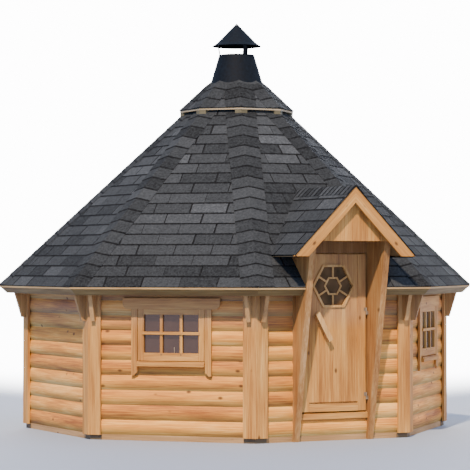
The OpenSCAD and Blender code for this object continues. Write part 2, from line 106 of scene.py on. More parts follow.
def ramp_stops(node, stops):
    """Sets a colour ramp's stops from (place, hex) pairs."""
    ramp = node.color_ramp
    while len(ramp.elements) < len(stops):
        ramp.elements.new(1)
    for element, (place, colour) in zip(ramp.elements, stops):
        element.position = place
        element.color = linear(colour)


def start_material(name):
    """New node material; returns it with its tree and shader."""
    material = bpy.data.materials.new(name)
    material.use_nodes = True
    tree = material.node_tree
    return material, tree, tree.nodes["Principled BSDF"]


# Streaks of the grain, fine and broad, and their shift from one side or board to the next
GRAIN_W = 13 * MM
GRAIN_L = 380 * MM
BROAD_W = 8 * GRAIN_W
BROAD_L = GRAIN_L / 0.35
GRAIN_SHIFT = 3.7
GRAIN_TURN = {"level": 0, "depth": 0, "upright": math.pi / 2, "rake": -dormer_pitch}
GRAIN_DEEP = 1.5 * MM
# Tones of the grain that the colour stops reach over, and the weight of each log's own tone
BOARD_SPAN = (0.68, 1.34)
LOG_SPAN = (0.84, 1.46)
LOG_TONE = 0.3
# Part of a log's height, from below, that fades into the painted shade of its underside
LOG_UNDERSIDE_SHADE = 0.64
# Cells that may hold a knot, and the share of them that do
KNOT_W = 110 * MM
KNOT_L = 190 * MM
KNOT_DEEP = KNOT_W / 0.3
KNOT_R = 15 * MM
KNOT_SHARE = 0.13
LOG_KNOT_SHARE = 0.3
# Boards of the roof and of the floor, and the dark joints painted between roof boards
BOARD_W = 95 * MM
FLOOR_W = 120 * MM
JOINT_CORE = 2 * MM
JOINT_EDGE = 6 * MM
# Heights between which timber close under the eaves turns grey: painted shade where the eaves' shadow falls
EAVE_SHADE_LOW = 1180 * MM
EAVE_SHADE_HIGH = 1340 * MM


def spruce(name, stops, grain="level", logs=False, joints=0.0, seed=0.0, eave_shade=0.0):
    """Oiled spruce: warm streaks along the grain, a few dark knots and a dull, slightly rough skin.

    Level grain follows the side of the octagon that the timber lies on. Logs have a tone each and painted
    shade, greyer and darker, on their undersides; joints is the width of the level boards that a surface is
    made of, or none; eave_shade is the share of grey painted as shade on timber close under the eaves."""
    material, tree, shader = start_material(name)
    place = add(tree, "ShaderNodeTexCoord").outputs["Object"]
    split = add(tree, "ShaderNodeSeparateXYZ", {0: place})
    # Number of the side, counted round from the door, and the place turned to face the door
    inward = add(tree, "ShaderNodeMath", {0: split.outputs["Y"], 1: -1.0}, operation="MULTIPLY")
    bearing = add(tree, "ShaderNodeMath", {0: split.outputs["X"], 1: inward.outputs[0]}, operation="ARCTAN2")
    share = add(tree, "ShaderNodeMath", {0: bearing.outputs[0], 1: TURN}, operation="DIVIDE")
    near = add(tree, "ShaderNodeMath", {0: share.outputs[0]}, operation="ROUND")
    number = add(tree, "ShaderNodeMath", {0: near.outputs[0], 1: SIDES}, operation="FLOORED_MODULO").outputs[0]
    back = add(tree, "ShaderNodeMath", {0: number, 1: -TURN}, operation="MULTIPLY")
    faced = add(tree, "ShaderNodeVectorRotate", {"Vector": place, "Angle": back.outputs[0]}, rotation_type="Z_AXIS")
    if grain == "depth":
        faced = add(tree, "ShaderNodeVectorRotate", {"Vector": place, "Angle": math.pi / 2}, rotation_type="Z_AXIS")
        board = add(tree, "ShaderNodeMath", {0: split.outputs["X"], 1: FLOOR_W}, operation="DIVIDE")
        number = add(tree, "ShaderNodeMath", {0: board.outputs[0]}, operation="ROUND").outputs[0]
    if grain == "rake":
        faced = add(tree, "ShaderNodeVectorMath", {0: place}, operation="ABSOLUTE")
    shift = add(tree, "ShaderNodeMath", {0: number, 1: GRAIN_SHIFT, 2: seed}, operation="MULTIPLY_ADD")
    apart = add(tree, "ShaderNodeCombineXYZ", {0: shift.outputs[0], 2: shift.outputs[0]})
    laid = add(tree, "ShaderNodeVectorMath", {0: faced.outputs[0], 1: apart.outputs[0]}, operation="ADD")
    turned = add(tree, "ShaderNodeMapping", {"Vector": laid.outputs[0]}, Rotation=(0, GRAIN_TURN[grain], 0)).outputs[0]
    fine_map = add(tree, "ShaderNodeMapping", {"Vector": turned}, Scale=(1 / GRAIN_L, 1 / GRAIN_W, 1 / GRAIN_W))
    fine = add(tree, "ShaderNodeTexNoise", {"Vector": fine_map.outputs[0]}, Scale=1, Detail=4, Roughness=0.65)
    broad_map = add(tree, "ShaderNodeMapping", {"Vector": turned}, Scale=(1 / BROAD_L, 1 / BROAD_W, 1 / BROAD_W))
    broad = add(tree, "ShaderNodeTexNoise", {"Vector": broad_map.outputs[0]}, Scale=1, Detail=2)
    tone = add(tree, "ShaderNodeMath", {0: fine.outputs[0], 1: broad.outputs[0]}, operation="ADD")
    span = BOARD_SPAN
    if logs:
        course = add(tree, "ShaderNodeMath", {0: split.outputs["Z"], 1: log_low}, operation="SUBTRACT")
        course = add(tree, "ShaderNodeMath", {0: course.outputs[0], 1: LOG_PITCH}, operation="DIVIDE")
        log = add(tree, "ShaderNodeMath", {0: course.outputs[0]}, operation="FLOOR")
        pair = add(tree, "ShaderNodeCombineXYZ", {0: log.outputs[0], 1: number})
        own = add(tree, "ShaderNodeTexWhiteNoise", {"Vector": pair.outputs[0]}, noise_dimensions="2D")
        tone = add(tree, "ShaderNodeMath", {0: own.outputs[0], 1: LOG_TONE, 2: tone.outputs[0]},
                   operation="MULTIPLY_ADD")
        span = LOG_SPAN
    level = add(tree, "ShaderNodeMapRange", {"Value": tone.outputs[0], "From Min": span[0], "From Max": span[1]})
    colour = add(tree, "ShaderNodeValToRGB", {0: level.outputs[0]})
    ramp_stops(colour, stops)
    painted = colour.outputs[0]
    # Painted shade: the lower part of each log is multiplied by a pale cool blue, darker and greyer towards its foot
    if logs:
        within = add(tree, "ShaderNodeMath", {0: course.outputs[0]}, operation="FRACT")
        under = add(tree, "ShaderNodeMapRange", {"Value": within.outputs[0], "From Min": 0.0, "From Max": LOG_UNDERSIDE_SHADE,
                                                 "To Min": 1.0, "To Max": 0.0}, interpolation_type="SMOOTHSTEP")
        underside_shaded = add(tree, "ShaderNodeMix", {0: under.outputs[0], 6: painted, 7: linear("#BADAFF")}, data_type="RGBA",
                   blend_type="MULTIPLY")
        painted = underside_shaded.outputs[2]
    # Painted shade: timber high on the walls, door, windows and brackets is mixed towards a cool grey where the eaves'
    # shadow falls
    if eave_shade:
        eave_shade_mask = add(tree, "ShaderNodeMapRange", {"Value": split.outputs["Z"], "From Min": EAVE_SHADE_LOW,
                                                     "From Max": EAVE_SHADE_HIGH, "To Max": eave_shade})
        eave_shaded = add(tree, "ShaderNodeMix", {0: eave_shade_mask.outputs[0], 6: painted, 7: linear("#7E8A90")},
                     data_type="RGBA")
        painted = eave_shaded.outputs[2]
    if joints:
        across = add(tree, "ShaderNodeSeparateXYZ", {0: faced.outputs[0]})
        step = add(tree, "ShaderNodeMath", {0: across.outputs["Y"], 1: joints}, operation="DIVIDE")
        gap = add(tree, "ShaderNodeMath", {0: step.outputs[0], 1: 1.0}, operation="PINGPONG")
        dark = add(tree, "ShaderNodeMapRange", {"Value": gap.outputs[0], "From Min": JOINT_CORE / joints,
                                                "From Max": JOINT_EDGE / joints, "To Min": 0.7, "To Max": 0.0})
        jointed = add(tree, "ShaderNodeMix", {0: dark.outputs[0], 6: painted, 7: linear("#3A2412")}, data_type="RGBA")
        painted = jointed.outputs[2]
    knot_map = add(tree, "ShaderNodeMapping", {"Vector": turned}, Scale=(1 / KNOT_L, 1 / KNOT_DEEP, 1 / KNOT_W))
    cells = add(tree, "ShaderNodeTexVoronoi", {"Vector": knot_map.outputs[0]}, Scale=1)
    reach = KNOT_R / KNOT_W
    spot = add(tree, "ShaderNodeMapRange", {"Value": cells.outputs["Distance"], "From Min": reach * 0.45,
                                            "From Max": reach * 1.5, "To Min": 0.85, "To Max": 0.0},
               interpolation_type="SMOOTHSTEP")
    lot = add(tree, "ShaderNodeSeparateColor", {0: cells.outputs["Color"]})
    knots = LOG_KNOT_SHARE if logs else KNOT_SHARE
    chosen = add(tree, "ShaderNodeMath", {0: lot.outputs[0], 1: knots}, operation="LESS_THAN")
    shown = add(tree, "ShaderNodeMath", {0: spot.outputs[0], 1: chosen.outputs[0]}, operation="MULTIPLY")
    knotted = add(tree, "ShaderNodeMix", {0: shown.outputs[0], 6: painted, 7: linear("#4A2A12")}, data_type="RGBA")
    tree.links.new(knotted.outputs[2], shader.inputs["Base Color"])
    bump = add(tree, "ShaderNodeBump", {"Height": fine.outputs[0]}, Strength=0.3, Distance=GRAIN_DEEP)
    tree.links.new(bump.outputs[0], shader.inputs["Normal"])
    shader.inputs["Roughness"].default_value = 0.62
    shader.inputs["Specular IOR Level"].default_value = 0.3
    return material


# Colours of the wood from dark to pale grain: oiled logs and boards, paler and weathered ones, and darker ones that
# paint the shade on the fascia, the brackets, the head over the door and the cap's blocks
LOG_STOPS = ((0, "#985926"), (0.4, "#CA8436"), (0.7, "#DF9A43"), (1, "#F1B764"))
BOARD_STOPS = ((0, "#8C5A28"), (0.4, "#AF7A3B"), (0.7, "#C18F4B"), (1, "#D2A562"))
PALE_STOPS = ((0, "#B58C5C"), (0.5, "#D2B083"), (1, "#E6CDA2"))
FAIR_STOPS = ((0, "#9C733F"), (0.5, "#BC9158"), (1, "#D2AE78"))
SHADE_STOPS = ((0, "#563F24"), (0.5, "#6D5B36"), (1, "#82714A"))
SILL_STOPS = ((0, "#8B6A43"), (0.5, "#A58259"), (1, "#BC9A70"))
CHEEK_STOPS = ((0, "#785028"), (0.4, "#966B3D"), (0.7, "#A68050"), (1, "#B79469"))
GREY_STOPS = ((0, "#4F4232"), (0.5, "#655643"), (1, "#786853"))
SHADED_HEAD_STOPS = ((0, "#694823"), (0.5, "#855F35"), (1, "#99724B"))
EDGE_STOPS = ((0, "#877A5E"), (0.5, "#9B8D74"), (1, "#AFA28A"))
SHADED_BLOCK_STOPS = ((0, "#4A4634"), (0.5, "#5B5642"), (1, "#6C6752"))
ROOF_STOPS = ((0, "#866A45"), (0.5, "#A08359"), (1, "#B79B6C"))
SHADED_BRACKET_STOPS = ((0, "#865C31"), (0.4, "#A57A44"), (0.7, "#B58B53"), (1, "#C59D68"))

# Spruce finishes, each named for its use
log_wood = spruce("oiled_spruce_logs", LOG_STOPS, logs=True, seed=1.3, eave_shade=0.16)
upright_wood = spruce("planed_spruce_upright", BOARD_STOPS, "upright", seed=0.4)
cheek_wood = spruce("planed_spruce_cheeks", CHEEK_STOPS, "upright", seed=6.2)
level_wood = spruce("planed_spruce_level", BOARD_STOPS, seed=3.1, eave_shade=0.15)
# Brackets in darker stops: painted shade under the eaves
shaded_bracket_wood = spruce("planed_spruce_brackets", SHADED_BRACKET_STOPS, "upright", seed=15.3, eave_shade=0.1)
door_wood = spruce("planed_spruce_door", BOARD_STOPS, "upright", seed=0.4, eave_shade=0.13)
# Head over the door in darker stops: painted shade under the gable
shaded_head_wood = spruce("shaded_planed_spruce_head", SHADED_HEAD_STOPS, "upright", seed=2.2)
wall_wood = spruce("planed_spruce_walls", BOARD_STOPS, "upright", seed=0.9, eave_shade=0.15)
rake_wood = spruce("planed_spruce_rake", BOARD_STOPS, "rake", seed=5.9)
roof_wood = spruce("pale_roof_boards", ROOF_STOPS, joints=BOARD_W, seed=7.7)
edge_wood = spruce("weathered_cap_boards", EDGE_STOPS, seed=13.1)
# Cap blocks in dark stops: painted shade under the edge of the cap
shaded_block_wood = spruce("shaded_cap_blocks", SHADED_BLOCK_STOPS, seed=14.6)
pale_wood = spruce("pale_planed_spruce", PALE_STOPS, "upright", seed=4.4)
sill_wood = spruce("ground_sill_spruce", SILL_STOPS, seed=10.3)
fair_wood = spruce("fair_planed_spruce", FAIR_STOPS, "upright", seed=8.4)
# Fascia boards in dark stops: painted shade under the edge of the roof boards
fascia_wood = spruce("painted_shade_fascia_spruce", SHADE_STOPS, seed=9.2)
floor_wood = spruce("floor_spruce", BOARD_STOPS, "depth", seed=11.5)
dark_wood = spruce("dark_sill_timber", GREY_STOPS, seed=12.5)


def shingle_felt():
    """Mineral-faced bitumen felt: dark grey grit with a tone for each tab, and nearly black cut edges and lips painted
    as shadow lines.
    """
    grit_size, grit_share, grit_deep = 24 * MM, 0.68, 1.5 * MM
    patch_size, patch_share = 70 * MM, 0.14
    material, tree, shader = start_material("grit_faced_felt")
    place = add(tree, "ShaderNodeTexCoord").outputs["Object"]
    tone = add(tree, "ShaderNodeAttribute", attribute_name="tone", attribute_type="GEOMETRY").outputs["Fac"]
    grit = add(tree, "ShaderNodeTexNoise", {"Vector": place}, Scale=1 / grit_size, Detail=2, Roughness=0.8)
    patch = add(tree, "ShaderNodeTexNoise", {"Vector": place}, Scale=1 / patch_size, Detail=2)
    rough = add(tree, "ShaderNodeMath", {0: grit.outputs[0], 1: grit_share, 2: tone}, operation="MULTIPLY_ADD")
    patched = add(tree, "ShaderNodeMath", {0: patch.outputs[0], 1: patch_share, 2: rough.outputs[0]},
                  operation="MULTIPLY_ADD")
    colour = add(tree, "ShaderNodeValToRGB", {0: patched.outputs[0]})
    ramp_stops(colour, ((0.09, "#0B0B0C"), (0.39, "#141517"), (0.56, "#282B2E"), (0.88, "#3E4246"), (1, "#4D5257")))
    tree.links.new(colour.outputs[0], shader.inputs["Base Color"])
    bump = add(tree, "ShaderNodeBump", {"Height": grit.outputs[0]}, Strength=0.5, Distance=grit_deep)
    tree.links.new(bump.outputs[0], shader.inputs["Normal"])
    shader.inputs["Roughness"].default_value = 0.9
    shader.inputs["Specular IOR Level"].default_value = 0.06
    return material


def sheet_metal(name, low, high, rough, metallic, sheen):
    """Sheet metal with faint rolling marks in its colour and gloss."""
    mark_size, swing = 30 * MM, 0.06
    material, tree, shader = start_material(name)
    place = add(tree, "ShaderNodeTexCoord").outputs["Object"]
    marks = add(tree, "ShaderNodeTexNoise", {"Vector": place}, Scale=1 / mark_size, Detail=3)
    colour = add(tree, "ShaderNodeValToRGB", {0: marks.outputs[0]})
    ramp_stops(colour, ((0.3, low), (0.7, high)))
    tree.links.new(colour.outputs[0], shader.inputs["Base Color"])
    gloss = add(tree, "ShaderNodeMapRange", {"Value": marks.outputs[0], "To Min": rough - swing,
                                             "To Max": rough + swing})
    tree.links.new(gloss.outputs[0], shader.inputs["Roughness"])
    shader.inputs["Metallic"].default_value = metallic
    shader.inputs["Specular IOR Level"].default_value = sheen
    return material


WINDOW_CLOUD = 260 * MM
DOOR_CLOUD = 150 * MM


def dark_pane(name, low, high, ior, tint, cloud_size=WINDOW_CLOUD):
    """Glass before an unlit room: a dark clouded face with a clear reflection."""
    material, tree, shader = start_material(name)
    place = add(tree, "ShaderNodeTexCoord").outputs["Object"]
    cloud = add(tree, "ShaderNodeTexNoise", {"Vector": place}, Scale=1 / cloud_size, Detail=1)
    colour = add(tree, "ShaderNodeValToRGB", {0: cloud.outputs[0]})
    ramp_stops(colour, ((0.3, low), (0.7, high)))
    tree.links.new(colour.outputs[0], shader.inputs["Base Color"])
    shader.inputs["Roughness"].default_value = 0.1
    shader.inputs["IOR"].default_value = ior
    shader.inputs["Specular Tint"].default_value = linear(tint)
    return material


# Felt, sheet metal and glass, each named for its look
felt = shingle_felt()
black_sheet = sheet_metal("stove_black_sheet", "#070C14", "#0D151F", 0.7, 0.0, 0.12)
sooted_sheet = sheet_metal("sooted_sheet", "#06090E", "#0B1017", 0.8, 0.0, 0.0)
zinc_steel = sheet_metal("zinc_plated_steel", "#7A6D5E", "#948674", 0.55, 0.35, 0.25)
window_glass = dark_pane("dark_window_glass", "#2E241F", "#382C26", 2.1, "#FFD8C4")
# Right window's glass in paler grey: a painted reflection of the sky
sky_reflection_glass = dark_pane("painted_sky_reflection_glass", "#4A4B4E", "#58595C", 2.1, "#FFFFFF")
door_glass = dark_pane("brown_door_glass", "#40301C", "#6B5136", 1.25, "#FFE8C8", DOOR_CLOUD)


def dress(material, *nodes):
    """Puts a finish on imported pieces."""
    for node in nodes:
        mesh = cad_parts[node].data
        mesh.materials.clear()
        mesh.materials.append(material)


dress(log_wood, *(f"{name}_wall" for name in ROOF_NAMES[1:]), "front_wall_left", "front_wall_right", "door_log")
dress(roof_wood, *(f"{name}_roof" for name in ROOF_NAMES), "dormer_roof")
dress(edge_wood, "cap_roof")
dress(shaded_block_wood, "cap_blocks")
dress(cheek_wood, "left_cheek", "right_cheek")
dress(shaded_head_wood, "door_head")
dress(upright_wood, "door_stops", "gable_panel")
dress(door_wood, "door_leaf")
dress(shaded_bracket_wood, "eave_brackets")
dress(wall_wood, "corner_boards", "left_window_casing", "right_window_casing",
      "left_window_sash", "right_window_sash")
dress(pale_wood, "hip_rafters", "smoke_collar")
dress(fair_wood, "door_light_frame", "door_handle")
dress(level_wood, "door_threshold", "door_rail")
dress(sill_wood, "sill_frame")
dress(rake_wood, "barge_boards")
dress(fascia_wood, "fascia_boards")
dress(floor_wood, "floor_deck")
dress(dark_wood, "floor_joists")
dress(window_glass, "left_window_glass")
dress(sky_reflection_glass, "right_window_glass")
dress(door_glass, "door_glass")
dress(black_sheet, "flue_cone", "hat_struts", "chimney_hat")
dress(zinc_steel, "door_hinges", "frame_hinges")
dress(felt, "roof_shingles", "hip_shingles", "dormer_shingles", "cap_shingles")


def finish_piece(bm, name, body, material, replaced=()):
    """Turns a bmesh into a piece of the cabin that rides on a body."""
    mesh = bpy.data.meshes.new(name)
    bm.to_mesh(mesh)
    bm.free()
    mesh.materials.append(material)
    piece = bpy.data.objects.new(name, mesh)
    bpy.context.scene.collection.objects.link(piece)
    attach(piece, body)
    if replaced:
        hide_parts(*replaced)


def join_bmesh(target, part):
    """Adds one bmesh to another by way of a passing mesh."""
    passing = bpy.data.meshes.new("passing")
    part.to_mesh(passing)
    part.free()
    target.from_mesh(passing)
    bpy.data.meshes.remove(passing)


def clip(bm, point, normal):
    """Cuts away what lies on the normal's side of a plane and closes the cut."""
    geometry = bm.verts[:] + bm.edges[:] + bm.faces[:]
    cut = bmesh.ops.bisect_plane(bm, geom=geometry, plane_co=point, plane_no=normal, clear_outer=True)
    edges = [e for e in cut["geom_cut"] if isinstance(e, bmesh.types.BMEdge)]
    if edges:
        bmesh.ops.edgeloop_fill(bm, edges=edges)


def block(bm, low, high, soften=0.0, place=Matrix.Identity(4)):
    """Box between two corners with softened edges; returns its faces."""
    low, high = Vector(low), Vector(high)
    middle = Matrix.Translation((low + high) / 2)
    made = bmesh.ops.create_cube(bm, size=1, matrix=place @ middle @ Matrix.Diagonal((*(high - low), 1)))
    faces = list({face for vert in made["verts"] for face in vert.link_faces})
    if soften:
        edges = list({edge for vert in made["verts"] for edge in vert.link_edges})
        bmesh.ops.bevel(bm, geom=edges, offset=soften, affect="EDGES", segments=2, profile=0.5, material=-1)
    return faces


def side_outward(k):
    """Level direction that side k faces."""
    return Matrix.Rotation(TURN * k, 3, "Z") @ FRONT


def hip_normal(k):
    """Level direction square to the hip after side k, pointing away from side k."""
    return Matrix.Rotation(TURN * k + HALF_TURN, 3, "Z") @ RIGHT


# Shingles: courses of tabs with open joints, and shingles folded over the hips and the dormer's ridge
EXPOSURE = 161 * MM
TAB = 420 * MM
TAB_STRAY = 0.12
JOINTS = (5 * MM, 11 * MM, 20 * MM)
TAB_LAP = 13 * MM
SHINGLE_T = 4 * MM
SHADOW_LIP = 18 * MM
LIP_DEEP = SHINGLE_T * 0.6
LIP_LIFT = 1 * MM
UNDERLAY_T = 2 * MM
HIP_HALF = 180 * MM
HIP_EXPOSURE = 177 * MM
HIP_LAP = 20 * MM
HIP_LIFT = 11 * MM
HIP_OVER = 6 * MM
HIP_TONE = 0.85
DORMER_COURSES = 6
# Chance below which a tab takes a range of tones: a few pale ones, some dark ones, the rest middling
TAB_TONES = ((0.13, 0.37, 0.45), (0.33, 0.12, 0.18), (1, 0.21, 0.33))
# Added to the tone of a tab for each metre above the eave
TONE_RISE = 0.038
JOINT_SEED, HIP_SEED, DORMER_SEED, ROOF_SEED = 3, 7, 40, 100


def new_bmesh():
    """Empty bmesh with a tone for each face."""
    bm = bmesh.new()
    return bm, bm.faces.layers.float.new("tone")


def tab_tone(rng):
    """Tone of one tab, by chance."""
    pick = rng.random()
    low, high = next((low, high) for chance, low, high in TAB_TONES if pick < chance)
    return rng.uniform(low, high)


def slope_frame(outward, edge_point, slope_pitch):
    """Matrix of a roof slope: X along its eave, Y up the slope, Z square to it."""
    upward = -outward * math.cos(slope_pitch) + UP * math.sin(slope_pitch)
    square = outward * math.sin(slope_pitch) + UP * math.cos(slope_pitch)
    turned = Matrix((UP.cross(outward), upward, square)).transposed().to_4x4()
    return Matrix.Translation(edge_point) @ turned


def lay_shingles(bm, tone_layer, place, half_width, length, exposure, rng):
    """Courses of tabs on a slope, each tilted over the course below and a little paler, on a black underlay; a black
    lip below each course and black cut edges are painted shadow.
    """
    block(bm, (-half_width, 0, 0), (half_width, length, UNDERLAY_T), 0, place)
    tilt = Matrix.Rotation(-math.atan(SHINGLE_T / exposure), 4, "X")
    joint_rng = random.Random(JOINT_SEED)
    for course in range(math.ceil(length / exposure)):
        laid = place @ Matrix.Translation((0, course * exposure, UNDERLAY_T + SHINGLE_T)) @ tilt
        # Black strip reaching below each course's foot: a painted shadow line
        lip = -SHADOW_LIP if course else 0
        block(bm, (-half_width, lip, -LIP_DEEP), (half_width, exposure / 2, LIP_LIFT), 0, laid)
        x = -half_width - TAB + (course % 2) * TAB / 2 + rng.uniform(-TAB_STRAY, TAB_STRAY) * TAB
        while x < half_width:
            high = (x + TAB - joint_rng.choice(JOINTS), exposure + TAB_LAP, SHINGLE_T)
            tone = tab_tone(rng) + (laid.translation.z - eave_z) * TONE_RISE
            # Only the tab's top takes its tone; its cut edges are black, painted shade
            for face in block(bm, (x, 0, 0), high, 0, laid):
                face.normal_update()
                face[tone_layer] = tone if face.normal.dot(laid.col[2].to_3d()) > 0.5 else 0
            x += TAB


def roof_side(k, out, low_z, top_out, zones=((),)):
    """Shingles of one side between its two hips; each zone is a set of further planes that keeps a part of it."""
    whole, _ = new_bmesh()
    outward = side_outward(k)
    place = slope_frame(outward, outward * out + UP * low_z, pitch)
    for zone in zones:
        bm, tone_layer = new_bmesh()
        length = (out - top_out) / math.cos(pitch)
        lay_shingles(bm, tone_layer, place, out * math.tan(HALF_TURN), length, EXPOSURE, random.Random(ROOF_SEED + k))
        clip(bm, Vector(), hip_normal(k))
        clip(bm, Vector(), -hip_normal(k - 1))
        for point, normal in zone:
            clip(bm, point, normal)
        join_bmesh(whole, bm)
    return whole


def folded_shingle(bm, tone_layer, start, along, downs, foot, length, half_width, tone):
    """One shingle with a dark lip, a painted shadow line along its foot, folded over a hip or ridge; downs are the
    directions down its two slopes.
    """
    made = bmesh.ops.create_grid(bm, x_segments=8, y_segments=2, size=0.5)
    faces = list({face for vert in made["verts"] for face in vert.link_faces})
    squares = [down.cross(along).normalized() for down in downs]
    squares = [square if square.z > 0 else -square for square in squares]
    for vert in made["verts"]:
        across, up = vert.co.x * 2, {-1: 0, 0: SHADOW_LIP / length, 1: 1}[round(vert.co.y * 2)]
        side = 0 if across < 0 else 1
        square = (squares[0] + squares[1]).normalized() if abs(across) < 0.01 else squares[side]
        height = HIP_LIFT + SHINGLE_T * (1 - up)
        vert.co = start + along * (foot + length * up) + downs[side] * abs(across) * half_width + square * height
    # The lowest strip and the cut edges are black: painted shadow lines
    for face in faces:
        above = face.calc_center_median().dot(along) - start.dot(along) - foot
        face[tone_layer] = tone if above > SHADOW_LIP else 0
    for part in bmesh.ops.solidify(bm, geom=faces, thickness=SHINGLE_T)["geom"]:
        if isinstance(part, bmesh.types.BMFace):
            part[tone_layer] = 0


def hip_row(target, k, out, low_z, top_out, rng):
    """Row of folded shingles up the hip after side k, cut off at the eave."""
    bm, tone_layer = new_bmesh()
    corner = Matrix.Rotation(TURN * k + HALF_TURN, 3, "Z") @ FRONT * (out / math.cos(HALF_TURN))
    start = corner + UP * low_z
    along = (UP * (low_z + out * rise) - start).normalized()
    downs = []
    for j, towards in ((k, -hip_normal(k)), (k + 1, hip_normal(k))):
        square = side_outward(j) * math.sin(pitch) + UP * math.cos(pitch)
        down = square.cross(along).normalized()
        downs.append(down if down.dot(towards) > 0 else -down)
    length = (out - top_out) * math.hypot(1 / math.cos(HALF_TURN), rise)
    foot = 0
    while foot < length:
        reach = min(HIP_EXPOSURE + HIP_LAP, length - foot)
        folded_shingle(bm, tone_layer, start, along, downs, foot, reach, HIP_HALF, tab_tone(rng) * HIP_TONE)
        foot += HIP_EXPOSURE
    bmesh.ops.recalc_face_normals(bm, faces=bm.faces[:])
    for j in (k, k + 1):
        clip(bm, side_outward(j) * (out + HIP_OVER), side_outward(j))
    join_bmesh(target, bm)


# Main roof and smoke cap; the front side has a slot for the porch, and the hips run on under the cap
SLOT_CLEAR = 1 * MM
CAP_TUCK = 60 * MM
slot_half = cheek_out + SLOT_CLEAR
front_zones = (
    ((RIGHT * -slot_half, RIGHT),),
    ((RIGHT * slot_half, -RIGHT),),
    ((RIGHT * slot_half, RIGHT), (RIGHT * -slot_half, -RIGHT), (FRONT * slot_out, FRONT)),
)
hip_rng = random.Random(HIP_SEED)
roof_bm, _ = new_bmesh()
hips_bm, _ = new_bmesh()
cap_bm, _ = new_bmesh()
for k in range(SIDES):
    join_bmesh(roof_bm, roof_side(k, eave_out, eave_z, smoke_out, ((),) if k else front_zones))
    hip_row(hips_bm, k, eave_out, eave_z, cap_out - CAP_TUCK, hip_rng)
    join_bmesh(cap_bm, roof_side(k, cap_out, cap_z, cap_top_out))
    hip_row(cap_bm, k, cap_out, cap_z, cap_top_out, hip_rng)
finish_piece(roof_bm, "roof_tabs", "hut", felt, ["roof_shingles"])
finish_piece(hips_bm, "hip_tabs", "hut", felt, ["hip_shingles"])
finish_piece(cap_bm, "cap_tabs", "hut", felt, ["cap_shingles"])

# Dormer: tabs on two slopes that die into the front side, a felt edge at each eave and a folded ridge
DRIP_H = 30 * MM
RIDGE_EXPOSURE = 90 * MM
RIDGE_HALF = 130 * MM
main_square = FRONT * math.sin(pitch) + UP * math.cos(pitch)
valley_point = FRONT * eave_out + UP * eave_z + main_square * (UNDERLAY_T + SHINGLE_T)
dormer_back = eave_out - (ridge_z - eave_z) / rise
dormer_length = dormer_edge / math.cos(dormer_pitch)
dormer_bm, _ = new_bmesh()
for side in (1, -1):
    bm, tone_layer = new_bmesh()
    outward = RIGHT * side
    edge_z = ridge_z - dormer_edge * math.tan(dormer_pitch)
    edge_point = outward * dormer_edge + FRONT * (dormer_front + dormer_back) / 2 + UP * edge_z
    place = slope_frame(outward, edge_point, dormer_pitch)
    half_width = (dormer_front - dormer_back) / 2
    lay_shingles(bm, tone_layer, place, half_width, dormer_length, dormer_length / DORMER_COURSES,
                 random.Random(DORMER_SEED + side))
    block(bm, (-half_width, 0, -DRIP_H), (half_width, UNDERLAY_T, 0), 0, place)
    clip(bm, Vector(), -outward)
    clip(bm, FRONT * dormer_front, FRONT)
    clip(bm, valley_point, -main_square)
    join_bmesh(dormer_bm, bm)
ridge_bm, ridge_tone = new_bmesh()
ridge_start = FRONT * dormer_front + UP * ridge_z
ridge_downs = [RIGHT * s * math.cos(dormer_pitch) - UP * math.sin(dormer_pitch) for s in (-1, 1)]
for i in range(math.ceil((dormer_front - dormer_back) / RIDGE_EXPOSURE)):
    folded_shingle(ridge_bm, ridge_tone, ridge_start, -FRONT, ridge_downs, i * RIDGE_EXPOSURE,
                   RIDGE_EXPOSURE + HIP_LAP, RIDGE_HALF, tab_tone(hip_rng))
bmesh.ops.recalc_face_normals(ridge_bm, faces=ridge_bm.faces[:])
clip(ridge_bm, valley_point, -main_square)
join_bmesh(dormer_bm, ridge_bm)
finish_piece(dormer_bm, "dormer_tabs", "hut", felt, ["dormer_shingles"])


def upright_boards(bm, low, high, width, vee):
    """Row of tongue-and-groove boards between two corners, with softened joints."""
    count = round((high.x - low.x) / width)
    step = (high.x - low.x) / count
    for i in range(count):
        block(bm, (low.x + i * step, low.y, low.z), (low.x + (i + 1) * step, high.y, high.z), vee)


# Gable over the door: upright boards under the dormer's two slopes
VEE = 3 * MM
gable_low, gable_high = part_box("gable_panel")
gable_bm = bmesh.new()
upright_boards(gable_bm, gable_low, gable_high, BOARD_W, VEE)
for side in (1, -1):
    clip(gable_bm, UP * gable_high.z, RIGHT * side * math.sin(dormer_pitch) + UP * math.cos(dormer_pitch))
finish_piece(gable_bm, "gable_boards", "hut", upright_wood, ["gable_panel"])

# Floor: boards from front to back, cut to the octagon
floor_low, floor_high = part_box("floor_deck")
deck_bm = bmesh.new()
upright_boards(deck_bm, floor_low, floor_high, FLOOR_W, VEE)
for k in range(SIDES):
    clip(deck_bm, side_outward(k) * floor_high.y, side_outward(k))
finish_piece(deck_bm, "floor_planks", "hut", floor_wood, ["floor_deck"])

